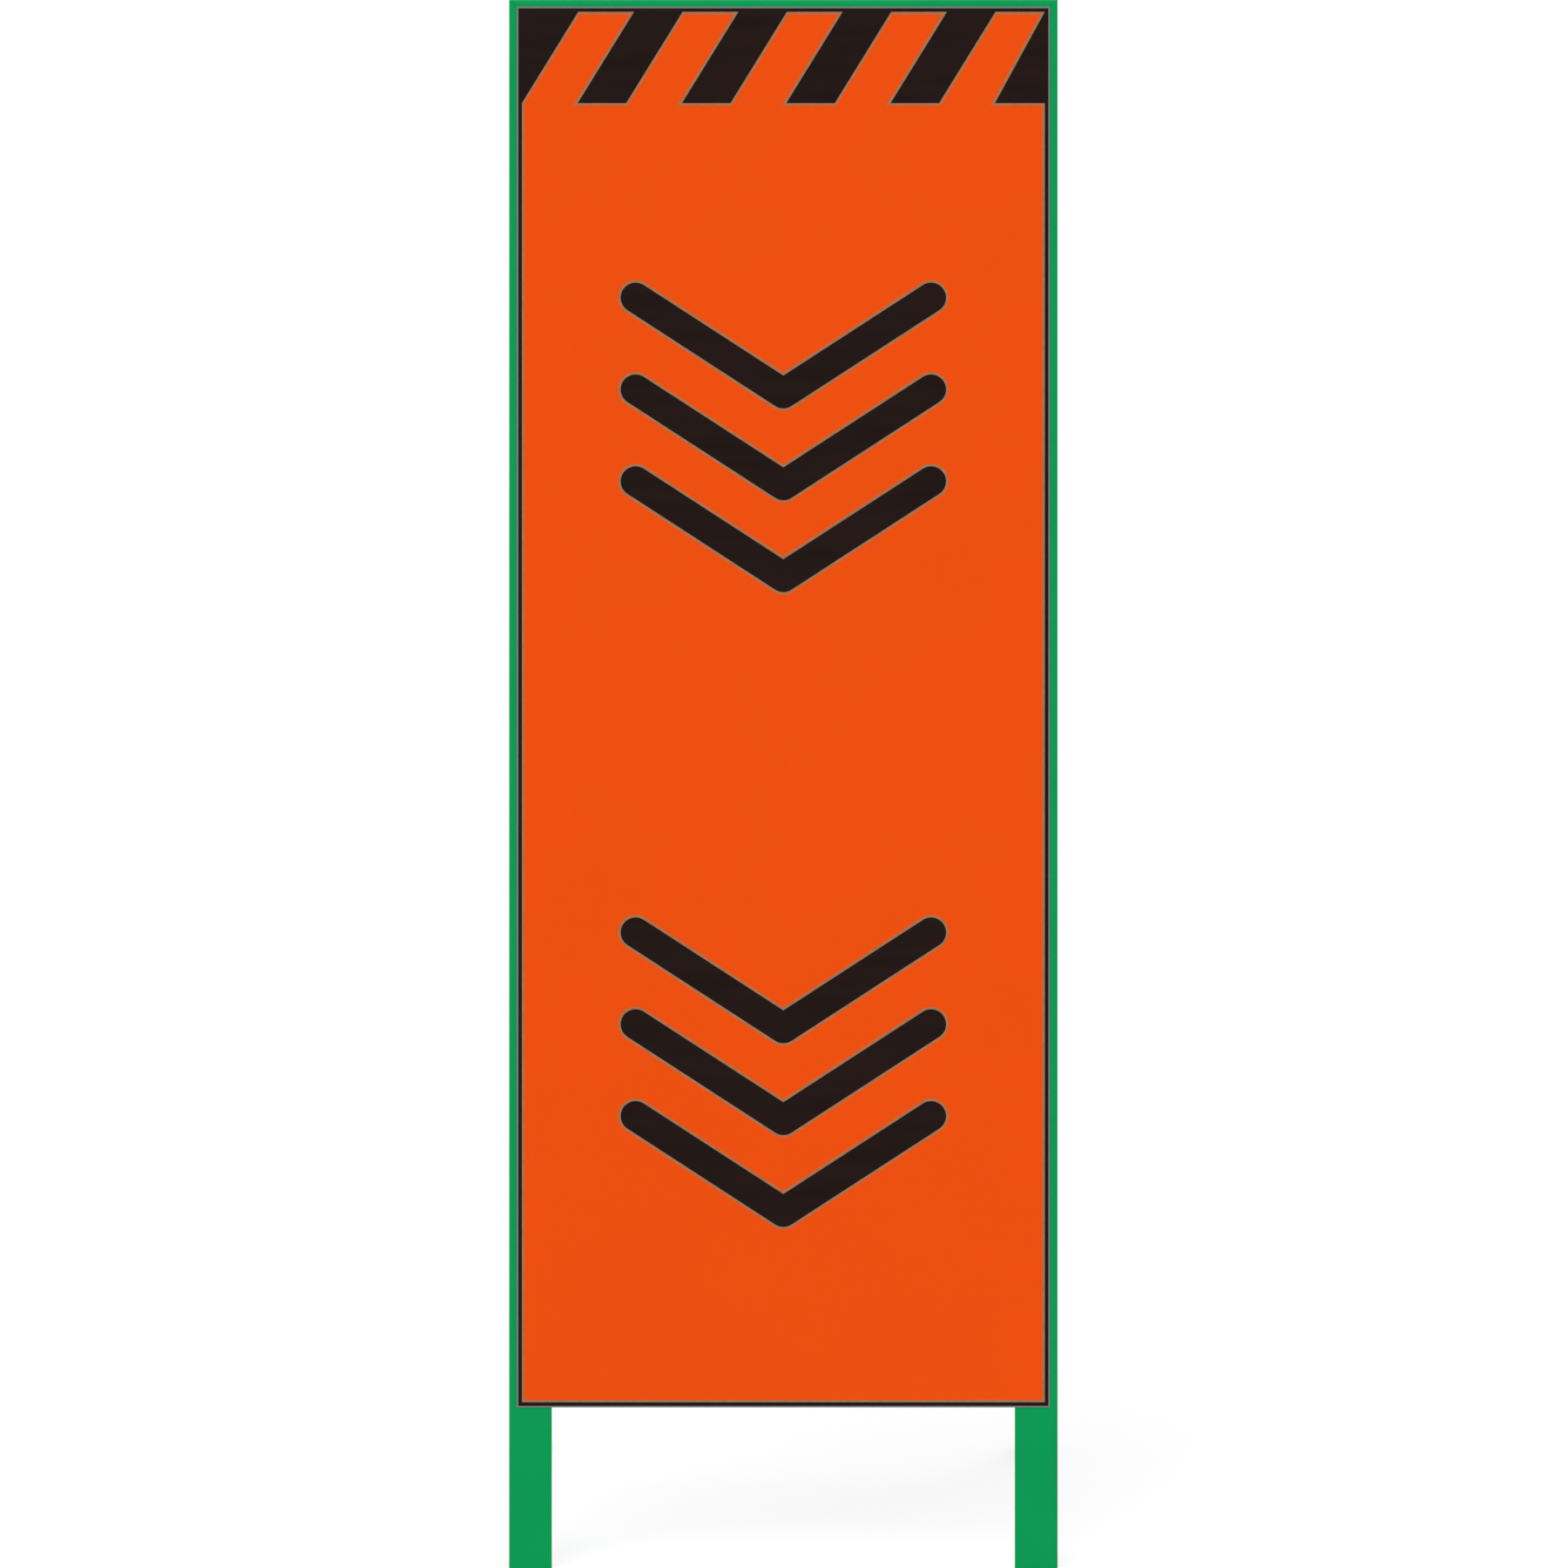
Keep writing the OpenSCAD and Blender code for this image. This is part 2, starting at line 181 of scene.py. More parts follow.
class Material:
    """A node material. add() makes a node, and its keyword values go to the sockets of those names."""

    def __init__(self, name):
        self.material = bpy.data.materials.new(name)
        self.material.use_nodes = True
        self.tree = self.material.node_tree
        self.shader = self.tree.nodes["Principled BSDF"]

    def add(self, kind, settings=None, **sockets):
        node = self.tree.nodes.new(kind)
        for key, value in (settings or {}).items():
            setattr(node, key, value)
        for key, value in sockets.items():
            self.put(node.inputs[key.replace("_", " ")], value)
        return node

    def put(self, socket, value):
        if isinstance(value, bpy.types.NodeSocket):
            self.tree.links.new(value, socket)
        else:
            socket.default_value = value

    def set(self, **sockets):
        for key, value in sockets.items():
            self.put(self.shader.inputs[key.replace("_", " ")], value)

    def math(self, operation, *values):
        node = self.add("ShaderNodeMath", {"operation": operation})
        for socket, value in zip(node.inputs, values):
            self.put(socket, value)
        return node.outputs[0]

    def vector(self, operation, *values):
        node = self.add("ShaderNodeVectorMath", {"operation": operation})
        for socket, value in zip(node.inputs, values):
            self.put(socket, value)
        return node.outputs["Value" if operation == "DOT_PRODUCT" else "Vector"]

    def split(self, vector):
        return self.add("ShaderNodeSeparateXYZ", Vector=vector).outputs

    def place(self):
        return self.add("ShaderNodeTexCoord").outputs["Object"]

    def not_facing_front(self):
        """0 on faces that look forward, 1 on all the others."""
        normal = self.add("ShaderNodeTexCoord").outputs["Normal"]
        return self.math("GREATER_THAN", self.vector("DOT_PRODUCT", normal, (0.0, 1.0, 0.0)), -0.5)

    def noise(self, size, detail=2.0, stretch=(1, 1, 1)):
        """Noise whose blotches are about size across, from 0 to 1."""
        where = self.vector("MULTIPLY", self.place(), stretch)
        node = self.add("ShaderNodeTexNoise", Vector=where, Scale=1 / (size * MM), Detail=detail)
        return node.outputs["Fac"]

    def ramp(self, value, *stops):
        """Turns a value into a colour: each stop is (position, colour)."""
        node = self.add("ShaderNodeValToRGB", Fac=value)
        elements = node.color_ramp.elements
        while len(elements) < len(stops):
            elements.new(0.5)
        for element, (position, colour) in zip(elements, stops):
            element.position = position
            element.color = (*colour, 1)
        return node.outputs["Color"]

    def tones(self, value, colour, darker, lighter, low=NOISE_LOW, high=NOISE_HIGH):
        """The colour from a darker to a lighter tone of it, as value goes from low to high."""
        return self.ramp(value, (low, shade(colour, darker)), (high, shade(colour, lighter)))

    def span(self, value, low, high, to_low, to_high):
        """Maps low..high onto to_low..to_high."""
        node = self.add("ShaderNodeMapRange", Value=value)
        ends = {"From Min": low, "From Max": high, "To Min": to_low, "To Max": to_high}
        for name, number in ends.items():
            node.inputs[name].default_value = number
        return node.outputs["Result"]

    def uneven(self, size, detail, to_low, to_high):
        """A value that wanders between to_low and to_high in blotches about size across."""
        return self.span(self.noise(size, detail), NOISE_LOW, NOISE_HIGH, to_low, to_high)

    def mix(self, factor, a, b):
        """Colour a where factor is 0, and colour b where it is 1."""
        node = self.add("ShaderNodeMix", {"data_type": "RGBA"})
        self.put(node.inputs["Factor"], factor)
        for name, value in (("A", a), ("B", b)):
            socket = [s for s in node.inputs if s.name == name and s.type == "RGBA"][0]
            self.put(socket, value if isinstance(value, bpy.types.NodeSocket) else (*value, 1))
        return [s for s in node.outputs if s.type == "RGBA"][0]

    def bump(self, height, depth, strength, under=None):
        """A normal that follows height over depth, on top of the normal under."""
        node = self.add("ShaderNodeBump", Height=height, Distance=depth * MM, Strength=strength)
        if under is not None:
            self.put(node.inputs["Normal"], under)
        return node.outputs["Normal"]


def shade(colour, factor):
    return tuple(c * factor for c in colour)


def green_enamel():
    """Sprayed enamel: orange peel, faint runs of tone, and chips at the sides and backs of the feet."""
    m = Material("green_enamel")
    tone = m.tones(m.noise(90, 4), GREEN, 0.955, 1.04, 0.25, 0.75)
    near_ground = m.span(m.split(m.place())["Z"], 0.0, CHIP_HEIGHT * MM, 1.0, 0.0)
    chip_room = m.math("MULTIPLY", near_ground, m.not_facing_front())
    chipped = m.math("GREATER_THAN", m.math("MULTIPLY", m.noise(4, 6), chip_room), 0.50)
    m.set(Base_Color=m.mix(chipped, tone, PRIMER))
    m.set(Roughness=m.uneven(35, 3, 0.27, 0.36), Specular_IOR_Level=0.07)
    orange_peel = m.bump(m.noise(2.2, 1), 0.07, 0.6)
    m.set(Normal=m.bump(m.noise(38, 2), 0.25, 0.3, orange_peel))
    return m.material


def honeycomb(m, cell):
    """1 along the walls of a honeycomb in the board's plane, 0 inside its cells.

    The cells' middles form two rectangular lattices. A point belongs to the nearer of its two."""
    flat = m.add("ShaderNodeVectorRotate", {"rotation_type": "X_AXIS"},
                 Vector=m.place(), Angle=LEAN).outputs[0]
    in_cells = m.add("ShaderNodeVectorMath", {"operation": "SCALE"},
                     Vector=flat, Scale=1 / (cell * MM)).outputs["Vector"]
    above_zero = m.vector("ADD", in_cells, (CELLS_ASIDE, 0.0, CELLS_ASIDE))
    step = (1.0, 1.0, math.sqrt(3))
    half_step = (0.5, 0.5, math.sqrt(3) / 2)
    from_middles = []
    for shift in ((0.0, 0.0, 0.0), half_step):
        inside = m.vector("MODULO", m.vector("ADD", above_zero, shift), step)
        from_middle = m.vector("SUBTRACT", inside, half_step)
        from_middles.append(m.vector("MULTIPLY", from_middle, (1.0, 0.0, 1.0)))
    first, second = (m.vector("DOT_PRODUCT", offset, offset) for offset in from_middles)
    second_is_nearer = m.math("LESS_THAN", second, first)
    to_walls = []
    for offset in from_middles:
        apart = m.split(m.vector("ABSOLUTE", offset))
        slanted = m.math("ADD", m.math("MULTIPLY", apart["X"], 0.5),
                         m.math("MULTIPLY", apart["Z"], math.sqrt(3) / 2))
        to_walls.append(m.math("MAXIMUM", apart["X"], slanted))
    first_share = m.math("MULTIPLY", to_walls[0], m.math("SUBTRACT", 1.0, second_is_nearer))
    nearest = m.math("ADD", first_share, m.math("MULTIPLY", to_walls[1], second_is_nearer))
    return m.span(nearest, 0.43, 0.49, 0.0, 1.0)


def orange_reflective():
    """Retroreflective sheeting: fine beads, faint honeycomb seals, and a laminate's slight waves."""
    m = Material("orange_reflective_sheeting")
    seal = honeycomb(m, SEAL_CELL)
    tone = m.tones(m.noise(140, 3), ORANGE, 0.985, 1.015)
    beads = m.mix(m.uneven(0.5, 2, 0.0, 1.0), tone, shade(ORANGE, 0.97))
    m.set(Base_Color=m.mix(m.math("MULTIPLY", seal, 0.22), beads, ORANGE_SEAL))
    m.set(Roughness=m.span(seal, 0.0, 1.0, 0.30, 0.42), Specular_IOR_Level=0.07)
    waves = m.bump(m.noise(60, 2), 0.20, 0.25)
    m.set(Normal=m.bump(seal, 0.02, 0.4, waves))
    return m.material


def black_film():
    """Black film with a satin face: a fine tooth, and streaks of tone from the squeegee."""
    m = Material("black_screen_film")
    streaks = m.noise(14, 3, stretch=(0.12, 1, 1))
    m.set(Base_Color=m.tones(streaks, BLACK, 0.85, 1.2))
    m.set(Roughness=m.uneven(9, 4, 0.36, 0.48), Specular_IOR_Level=0.06)
    m.set(Normal=m.bump(m.noise(0.7, 2), 0.02, 0.3))
    return m.material


def keyline_film():
    """The keyline's warm grey film, matt and a little uneven."""
    m = Material("pale_keyline_film")
    m.set(Base_Color=m.tones(m.noise(6, 4), PALE, 0.90, 1.08))
    m.set(Roughness=m.uneven(5, 2, 0.45, 0.60), Specular_IOR_Level=0.08)
    m.set(Normal=m.bump(m.noise(1.0, 2), 0.02, 0.3))
    return m.material


def galvanised():
    """Hot-dip galvanised sheet: spangles that differ in tone and gloss, with a dull bloom over them.

    Dark edge sealer covers its front, which shows only as a line round the sheeting."""
    m = Material("galvanised_spangle")
    warp = m.add("ShaderNodeTexNoise", Vector=m.place(), Scale=60.0, Detail=2.0).outputs["Color"]
    bent = m.vector("ADD", m.place(), m.vector("MULTIPLY", warp, (0.006, 0.006, 0.006)))
    cells = m.add("ShaderNodeTexVoronoi", Vector=bent, Scale=SPANGLES_PER_M)
    grey = m.add("ShaderNodeSeparateColor", Color=cells.outputs["Color"]).outputs["Red"]
    spangle = m.ramp(grey, (0.0, shade(ZINC_DULL, 0.88)), (0.5, ZINC_DULL),
                     (1.0, shade(ZINC_DULL, 1.20)))
    bloom = m.span(m.noise(120, 5), 0.45, 0.75, 0.0, 0.35)
    bare = m.not_facing_front()
    m.set(Base_Color=m.mix(bare, EDGE_SEALER, m.mix(bloom, spangle, ZINC_BLOOM)))
    m.set(Metallic=m.span(bare, 0.0, 1.0, 0.0, 0.85), Roughness=m.span(grey, 0.0, 1.0, 0.38, 0.55))
    m.set(Normal=m.bump(m.noise(3, 3), 0.03, 0.3))
    return m.material


def zinc_plate():
    """Bright zinc plating on turned and pressed steel, with a faint yellow and blue cast."""
    m = Material("zinc_plating")
    cast = m.ramp(m.noise(7, 3), (0.25, ZINC_YELLOW_CAST), (0.5, ZINC_BRIGHT), (0.75, ZINC_BLUE_CAST))
    m.set(Base_Color=cast, Metallic=1.0)
    m.set(Roughness=m.uneven(2.5, 4, 0.24, 0.40))
    m.set(Normal=m.bump(m.noise(0.9, 2), 0.02, 0.3))
    return m.material


def nylon():
    """The locking ring's nylon, slightly translucent and scored by the thread."""
    m = Material("nylon_ring")
    m.set(Base_Color=m.tones(m.noise(1.5, 3), NYLON, 0.9, 1.0))
    m.set(Roughness=m.uneven(1.0, 2, 0.35, 0.50), Subsurface_Weight=0.1)
    m.set(Normal=m.bump(m.noise(0.6, 2), 0.02, 0.4))
    return m.material


MATERIALS = {
    "green_paint": green_enamel(),
    "galvanised_sheet": galvanised(),
    "orange_sheeting": orange_reflective(),
    "pale_film": keyline_film(),
    "black_film": black_film(),
    "zinc_plate": zinc_plate(),
}
NYLON_RING = nylon()


def finish_nodes():
    """Gives every CAD node its slot's material."""
    for part in frame["record"]["subparts"]:
        node = frame["nodes"][part["node"]]
        node.material_slots[0].material = MATERIALS[part["material_slot"]]


def round_edges():
    """Breaks the steel's sharp edges, which shears and a deburring wheel leave slightly round."""
    for name, width in EDGE_ROUND.items():
        modifiers = frame["nodes"][name].modifiers
        weld = modifiers.new("weld", "WELD")
        weld.merge_threshold = SAME_POINT_M
        flatten = modifiers.new("flat_faces", "DECIMATE")
        flatten.decimate_type = "DISSOLVE"
        flatten.angle_limit = FLAT_TURN
        bevel = modifiers.new("edges", "BEVEL")
        bevel.width = width * MM
        bevel.segments = 2
        bevel.limit_method = "ANGLE"
        bevel.angle_limit = SHARP_TURN
        bevel.use_clamp_overlap = False
        bevel.loop_slide = False
        normals = modifiers.new("normals", "WEIGHTED_NORMAL")
        normals.keep_sharp = False


# Meshes

class Mesh:
    """Collects points and faces in board or prop coordinates, and turns them into a piece."""

    def __init__(self):
        self.points = []
        self.faces = []
        self.smooth = []
        self.slots = []

    def grid(self, rows, closed_rows, closed_columns=False, slot=0):
        """Joins rows of points into quads. Rows, and columns too, can close on themselves."""
        start = len(self.points)
        width = len(rows[0])
        for row in rows:
            self.points.extend(row)
        row_count = len(rows) if closed_columns else len(rows) - 1
        column_count = width if closed_rows else width - 1
        for r in range(row_count):
            below = start + r * width
            above = start + (r + 1) % len(rows) * width
            for c in range(column_count):
                right = (c + 1) % width
                self.face([below + c, below + right, above + right, above + c], slot=slot)
        return start

    def face(self, corners, smooth=True, slot=0):
        self.faces.append(corners)
        self.smooth.append(smooth)
        self.slots.append(slot)

    def piece(self, name, place, body, slot, extra_materials=(), stands_for=()):
        """Makes the object, which rides on body, takes its finish from slot and stands for CAD nodes."""
        data = bpy.data.meshes.new(name)
        data.from_pydata([place @ Vector(p) for p in self.points], [], self.faces)
        data.polygons.foreach_set("use_smooth", self.smooth)
        data.polygons.foreach_set("material_index", self.slots)
        data.validate()
        obj = bpy.data.objects.new(name, data)
        bpy.context.scene.collection.objects.link(obj)
        for material in (MATERIALS[slot], *extra_materials):
            data.materials.append(material)
        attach(obj, body)
        if stands_for:
            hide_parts(*stands_for)
        data.set_sharp_from_angle(angle=SMOOTH_TURN)


def axes_at(origin, along):
    """A function that puts (radius, angle, distance along) round an axis through origin."""
    along = Vector(along).normalized()
    side = along.orthogonal().normalized()
    other = along.cross(side)
    origin = Vector(origin)

    def put(radius, angle, distance):
        x, y = radius * math.cos(angle), radius * math.sin(angle)
        return origin + along * distance + side * x + other * y

    return put


def ring_angles(steps):
    return [2 * math.pi * i / steps for i in range(steps)]


def revolve(mesh, put, profile, slot=0):
    """Spins a profile of (radius, distance). It closes on itself, so a ring has no open side."""
    rows = [[put(radius, angle, distance) for radius, distance in profile]
            for angle in ring_angles(48)]
    mesh.grid(rows, closed_rows=True, closed_columns=True, slot=slot)


def hex_radius(across_flats, angle):
    """Distance from the middle of a hexagon to its edge, at an angle."""
    sixth = math.pi / 3
    return across_flats / 2 / math.cos((angle % sixth) - sixth / 2)


def hex_body(mesh, put, across_flats, low, high, bore, chamfer_low=False, chamfer_high=False):
    """A nut's hexagon. Its corners are turned off at 30 degrees at the ends that have a chamfer."""
    corner = across_flats / math.sqrt(3)
    face_radius = across_flats / 2 * 0.985
    slope = math.tan(math.radians(30))
    depth = (corner - face_radius) * slope
    chamfer = [(depth * k / 3, face_radius + depth * k / 3 / slope) for k in (0, 1, 2, 3)]
    levels = [(low, corner)]
    if chamfer_low:
        levels = [(low + down, radius) for down, radius in chamfer]
    if chamfer_high:
        levels += [(high - down, radius) for down, radius in reversed(chamfer)]
    else:
        levels += [(high, corner)]
    lead_in = 0.45
    rows = []
    for angle in ring_angles(72):
        outer = [put(min(hex_radius(across_flats, angle), limit), angle, z) for z, limit in levels]
        inner = [put(bore + lead_in, angle, high), put(bore, angle, high - lead_in),
                 put(bore, angle, low + lead_in), put(bore + lead_in, angle, low)]
        rows.append(outer + inner)
    mesh.grid(rows, closed_rows=True, closed_columns=True)


def threaded_rod(mesh, put, diameter, pitch, plain, length, chamfer):
    """A stud that is plain up to plain and threaded from there to its chamfered end at length."""
    steps, rows_per_turn = 24, 6
    angles = ring_angles(steps)
    depth = 0.54 * pitch
    flank = 1.25
    outer = diameter / 2
    row_count = max(2, int((length - plain) / pitch * rows_per_turn))
    rows = [[put(radius, angle, z) for angle in angles]
            for radius, z in ((0.0, 0.0), (outer, 0.0), (outer, plain))]
    for k in range(1, row_count + 1):
        z = plain + (length - plain) * k / row_count
        run_out = min(1.0, (z - plain) / pitch)
        limit = outer - max(0.0, z - (length - chamfer))
        row = []
        for i, angle in enumerate(angles):
            share = (z / pitch + i / steps) % 1.0
            groove = depth * run_out * max(0.0, 1 - abs(2 * share - 1) * flank)
            row.append(put(min(outer - groove, limit), angle, z))
        rows.append(row)
    rows.append([put(0.0, angle, length) for angle in angles])
    mesh.grid(rows, closed_rows=True)


def weld_bead(mesh, start, end, first, second, turn, phase=0.0):
    """A rippled weld from start to end. Its section runs from first round to second, through turn."""
    start, end, first, second = (Vector(p) for p in (start, end, first, second))
    ripple_pitch, ripple_depth, crescent_depth = 2.1, 0.13, 1.3
    around, station_gap = 7, 0.5
    end_size, end_length = 0.35, 2.0
    full_size = 0.93
    length = (end - start).length
    along = (end - start) / length
    stations = max(6, int(length / station_gap))
    rows = []
    for k in range(stations + 1):
        at = length * k / stations
        from_end = min(at, length - at)
        taper = end_size + (1 - end_size) * min(1.0, from_end / end_length) ** 0.5
        wander = 0.06 * math.sin(at * 0.61 + phase) + 0.04 * math.sin(at * 1.73 + 2 * phase)
        middle = start + along * at
        row = [middle]
        for j in range(around + 1):
            t = turn * j / around
            crescent = crescent_depth * math.sin(math.pi * j / around)
            wave = ((at + crescent + phase) / ripple_pitch) % 1.0
            size = taper * (full_size + wander - ripple_depth * wave)
            row.append(middle + (first * math.cos(t) + second * math.sin(t)) * size)
        rows.append(row)
    begin = mesh.grid(rows, closed_rows=True)
    width = around + 2
    mesh.face([begin + i for i in reversed(range(width))], smooth=False)
    mesh.face([begin + stations * width + i for i in range(width)], smooth=False)


# Fixings of the panel

def back_axis(low, high):
    """Cylinder coordinates that run back from the front of a stud's or nut's box, through its middle."""
    middle = (low + high) / 2
    return axes_at((middle.x, low.y, middle.z), (0, 1, 0))


def panel_studs():
    """The weld studs: a plain neck, and a rolled thread to the chamfered end."""
    mesh = Mesh()
    threaded_turns, chamfer = 4, 0.6
    for low, high in solid_boxes("panel_studs", TO_BOARD):
        length = high.y - low.y
        plain = length - threaded_turns * STUD_PITCH
        threaded_rod(mesh, back_axis(low, high), high.x - low.x, STUD_PITCH, plain, length, chamfer)
    mesh.piece("panel_stud_threads", BOARD, "sign", "zinc_plate", stands_for=["panel_studs"])


def panel_flange_nuts():
    """Flange nuts: a turned and slightly domed flange under a chamfered hexagon."""
    mesh = Mesh()
    flange_t, bore, across_flats = 1.2, 2.55, 8.0
    flat = across_flats / 2
    for low, high in solid_boxes("panel_flange_nuts", TO_BOARD):
        put = back_axis(low, high)
        flange = (high.x - low.x) / 2
        revolve(mesh, put, [
            (bore, 0.05), (flange - 0.3, 0.0), (flange, 0.25), (flange, 0.7), (flange - 0.35, 0.95),
            (flat + 0.55, flange_t + 0.15), (flat - 0.2, flange_t + 0.5), (bore, flange_t + 0.5),
        ])
        hex_body(mesh, put, across_flats, flange_t - 0.1, high.y - low.y, bore, chamfer_high=True)
    mesh.piece("panel_nuts_chamfered", BOARD, "sign", "zinc_plate", stands_for=["panel_flange_nuts"])


# Pivots of the prop

def pivot_end(side_name):
    """A welded pivot stud with a threaded end, and its lock nut with a nylon ring in a rolled collar."""
    stud_low, stud_high = box_in(side_name + "_pivot_stud", TO_BOARD)
    nut_low, nut_high = box_in(side_name + "_lock_nut", TO_BOARD)
    middle = (stud_low + stud_high) / 2
    on_right = side_name == "right"

    def inwards_from(low, high):
        root = high.x if on_right else low.x
        return axes_at((root, middle.y, middle.z), (-1 if on_right else 1, 0, 0))

    stud_d = stud_high.y - stud_low.y
    stud_length = stud_high.x - stud_low.x
    threaded_turns, chamfer = 3, 0.9
    stud = Mesh()
    threaded_rod(stud, inwards_from(stud_low, stud_high), stud_d, PIVOT_PITCH,
                 stud_length - threaded_turns * PIVOT_PITCH, stud_length, chamfer)
    stud.piece(side_name + "_pivot_stud_thread", BOARD, "sign", "zinc_plate",
               stands_for=[side_name + "_pivot_stud"])

    put = inwards_from(nut_low, nut_high)
    total = nut_high.x - nut_low.x
    across_flats = min(nut_high.y - nut_low.y, nut_high.z - nut_low.z)
    bore = stud_d / 2 + 0.05
    hex_h = total * 0.70
    wall = across_flats / 2 * 0.90
    nut = Mesh()
    hex_body(nut, put, across_flats, 0.0, hex_h, bore, chamfer_low=True)
    collar = [
        (bore, hex_h - 0.6), (wall + 0.35, hex_h - 0.6), (wall + 0.2, hex_h + 0.35),
        (wall, hex_h + 0.9), (wall - 0.1, total - 0.55), (wall - 0.5, total - 0.1),
        (wall - 1.0, total), (wall - 1.15, total - 0.45), (wall - 1.15, total - 1.2),
        (bore, total - 1.2),
    ]
    ring = [
        (bore, total - 1.3), (wall - 1.2, total - 1.3), (wall - 1.2, total - 0.45),
        (bore + 0.5, total - 0.35), (bore, total - 0.6),
    ]
    revolve(nut, put, collar)
    revolve(nut, put, ring, slot=1)
    nut.piece(side_name + "_lock_nut_with_ring", BOARD, "sign", "zinc_plate",
              extra_materials=[NYLON_RING], stands_for=[side_name + "_lock_nut"])


# Welds

def frame_welds():
    """Seams behind the mitres, fillets inside them, and the cross rails' butts and laps."""
    mesh = Mesh()
    rail_low, rail_high = box_in("top_rail", TO_BOARD)
    upright_low, upright_high = box_in("right_upright", TO_BOARD)
    side_x, face_x, deep = upright_high.x, upright_low.x, upright_high.y
    top, face_bottom = rail_high.z, rail_low.z
    back = FRAME_T
    bend = FRAME_T + BEND_R
    inside_x, inside_top = side_x - FRAME_T, top - FRAME_T
    for side in (-1, 1):
        across = Vector((side, 0, -1)).normalized() * MITRE_SEAM[0]
        weld_bead(mesh, (side * (face_x + 1), back, face_bottom + 1),
                  (side * (side_x - bend), back, top - bend),
                  across, (0, MITRE_SEAM[1], 0), HALF_TURN, phase=side)
        weld_bead(mesh, (side * inside_x, bend + 1, inside_top), (side * inside_x, deep - 2, inside_top),
                  (-side * MITRE_FILLET, 0, 0), (0, 0, -MITRE_FILLET), QUARTER_TURN, phase=0.7 * side)
    for name in ("upper_cross_rail", "lower_cross_rail", "bottom_rail"):
        low, high = box_in(name, TO_BOARD)
        for side in (-1, 1):
            phase = 0.3 * side + 0.01 * low.z
            weld_bead(mesh, (side * face_x, back, low.z + 1.5), (side * face_x, back, high.z - bend - 1),
                      (side * BUTT_SEAM[0], 0, 0), (0, BUTT_SEAM[1], 0), HALF_TURN, phase)
            lap_start, lap_end = face_x + 0.5, abs(high.x) - 0.3
            for v, way in ((high.z, 1), (high.z - FRAME_T, -1)):
                weld_bead(mesh, (side * lap_start, back, v), (side * lap_end, back, v),
                          (0, 0, way * LAP_FILLET), (0, LAP_FILLET, 0), QUARTER_TURN, phase + way)
    mesh.piece("frame_weld_beads", BOARD, "sign", "green_paint")


def prop_welds():
    """Fillets that join each flat bar to the arms' rear flanges, along its edges and the flanges'."""
    mesh = Mesh()
    flange_x = box_in("right_prop_arm", TO_PROP)[0].x
    for name in ("prop_upper_bar", "prop_lower_bar"):
        low, high = box_in(name, TO_PROP)
        back = high.y
        for side in (-1, 1):
            phase = 0.9 * side + 0.01 * low.z
            weld_bead(mesh, (side * flange_x, back, low.z + 1.5), (side * flange_x, back, high.z - 1.5),
                      (-side * BAR_FILLET[0], 0, 0), (0, BAR_FILLET[1], 0), QUARTER_TURN, phase)
            for z, way in ((low.z, -1), (high.z, 1)):
                weld_bead(mesh, (side * (flange_x + 1), back, z), (side * (high.x - 1), back, z),
                          (0, 0, way * LAP_FILLET), (0, -LAP_FILLET, 0), QUARTER_TURN, phase + way)
    mesh.piece("prop_weld_beads", PROP, "prop", "green_paint")


# Stage, light and camera

def seen_directly(tree):
    """1 for camera, glossy and transmission rays, which show the background, and 0 for other light."""
    rays = tree.nodes.new("ShaderNodeLightPath").outputs
    total = rays["Is Camera Ray"]
    for name in ("Is Glossy Ray", "Is Transmission Ray"):
        either = tree.nodes.new("ShaderNodeMath")
        either.operation = "MAXIMUM"
        tree.links.new(total, either.inputs[0])
        tree.links.new(rays[name], either.inputs[1])
        total = either.outputs[0]
    return total


def make_world():
    """An even white surround: a plain level of light on the object, and pure white behind it."""
    world = bpy.data.worlds.new("even_white")
    bpy.context.scene.world = world
    world.use_nodes = True
    tree = world.node_tree
    background = tree.nodes["Background"]
    background.inputs["Color"].default_value = (1, 1, 1, 1)
    level = tree.nodes.new("ShaderNodeMapRange")
    level.inputs["To Min"].default_value = WORLD_LEVEL
    level.inputs["To Max"].default_value = 1.0
    tree.links.new(seen_directly(tree), level.inputs["Value"])
    tree.links.new(level.outputs["Result"], background.inputs["Strength"])


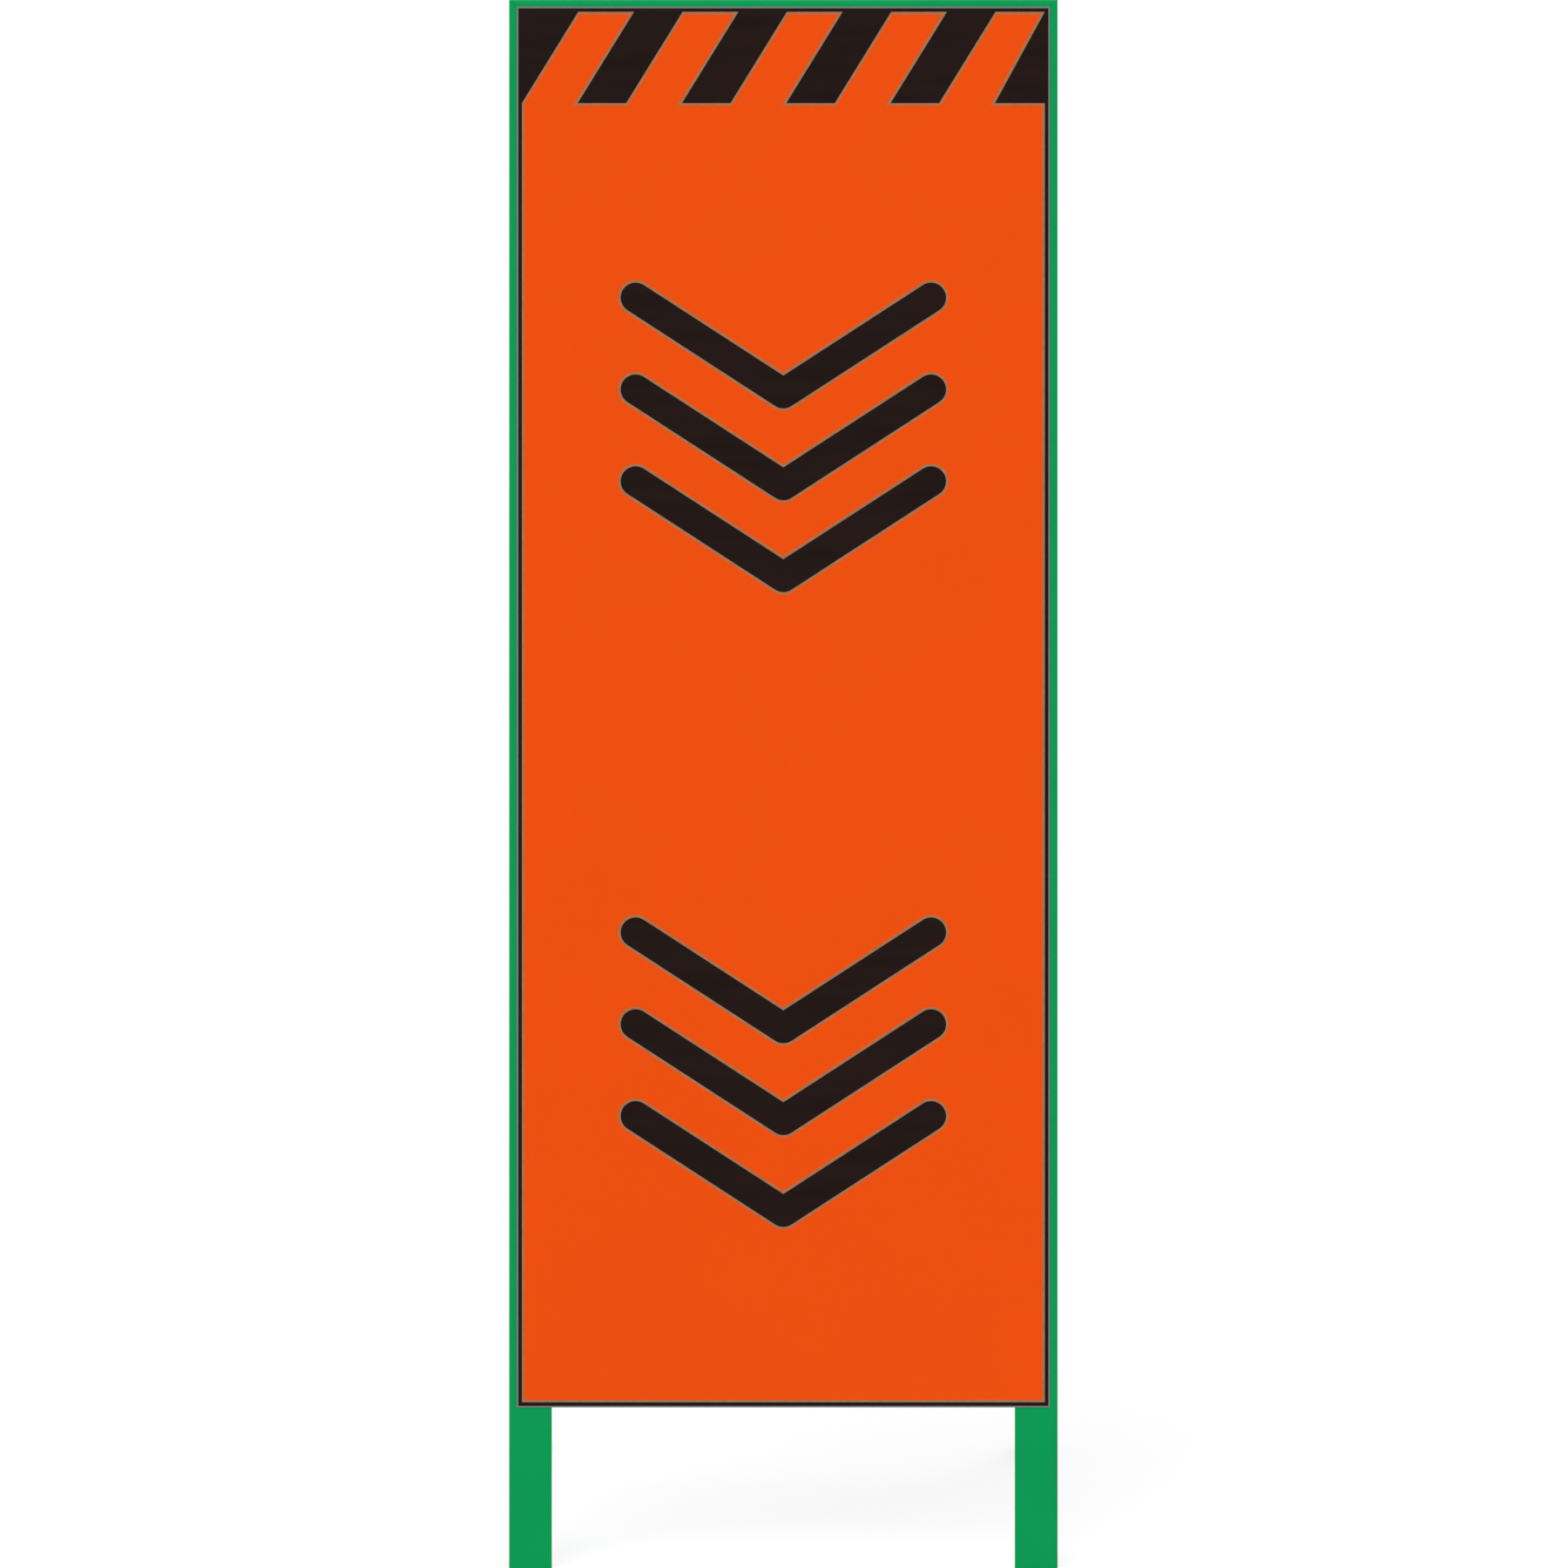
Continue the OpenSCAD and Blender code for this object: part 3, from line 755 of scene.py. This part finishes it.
def make_floor():
    """A white studio floor that fades into the background and keeps a soft shadow of the board."""
    reach = FLOOR_REACH_M
    corners = [(-reach, -reach, 0), (reach, -reach, 0), (reach, reach, 0), (-reach, reach, 0)]
    data = bpy.data.meshes.new("floor")
    data.from_pydata(corners, [], [(0, 1, 2, 3)])
    floor = bpy.data.objects.new("floor", data)
    bpy.context.scene.collection.objects.link(floor)
    material = bpy.data.materials.new("white_floor")
    material.use_nodes = True
    tree = material.node_tree
    tree.nodes.remove(tree.nodes["Principled BSDF"])
    bounce = tree.nodes.new("ShaderNodeBsdfDiffuse")
    bounce.inputs["Color"].default_value = (FLOOR_BOUNCE, FLOOR_BOUNCE, FLOOR_BOUNCE, 1)
    shadow = tree.nodes.new("ShaderNodeBsdfDiffuse")
    shadow.inputs["Color"].default_value = (FLOOR_SHADE, FLOOR_SHADE, FLOOR_SHADE, 1)
    glow = tree.nodes.new("ShaderNodeEmission")
    glow.inputs["Color"].default_value = (1, 1, 1, 1)
    glow.inputs["Strength"].default_value = FLOOR_GLOW
    both = tree.nodes.new("ShaderNodeAddShader")
    choose = tree.nodes.new("ShaderNodeMixShader")
    tree.links.new(shadow.outputs[0], both.inputs[0])
    tree.links.new(glow.outputs[0], both.inputs[1])
    tree.links.new(seen_directly(tree), choose.inputs[0])
    tree.links.new(bounce.outputs[0], choose.inputs[1])
    tree.links.new(both.outputs[0], choose.inputs[2])
    tree.links.new(choose.outputs[0], tree.nodes["Material Output"].inputs["Surface"])
    data.materials.append(material)


def make_lamp(name, azimuth, elevation, strength, width):
    """A far soft lamp."""
    data = bpy.data.lights.new(name, "SUN")
    data.energy = strength
    data.angle = math.radians(width)
    lamp = bpy.data.objects.new(name, data)
    bpy.context.scene.collection.objects.link(lamp)
    a, e = math.radians(azimuth), math.radians(elevation)
    towards = Vector((math.sin(a) * math.cos(e), -math.cos(a) * math.cos(e), math.sin(e)))
    lamp.rotation_euler = towards.to_track_quat("Z", "Y").to_euler()


def make_camera():
    """Looks squarely at the board from far off, so that the photograph's flat front view comes out."""
    data = bpy.data.cameras.new("camera")
    data.lens = LENS
    data.sensor_width = SENSOR_WIDTH
    data.clip_end = CLIP_END_M
    camera = bpy.data.objects.new("camera", data)
    bpy.context.scene.collection.objects.link(camera)
    distance = PHOTO_MM * LENS / SENSOR_WIDTH
    board_length = box_in("top_rail", TO_BOARD)[1].z
    camera.location = BOARD @ Vector((PHOTO_CENTRE_X, -distance, board_length / 2))
    camera.rotation_euler = (math.pi / 2 - LEAN, 0, 0)
    bpy.context.scene.camera = camera


finish_nodes()
round_edges()
panel_studs()
panel_flange_nuts()
for side_name in ("left", "right"):
    pivot_end(side_name)
frame_welds()
prop_welds()

make_world()
make_floor()
for lamp_name, lamp in LAMPS.items():
    make_lamp(lamp_name, *lamp)
make_camera()
bpy.context.scene.view_settings.view_transform = "Standard"
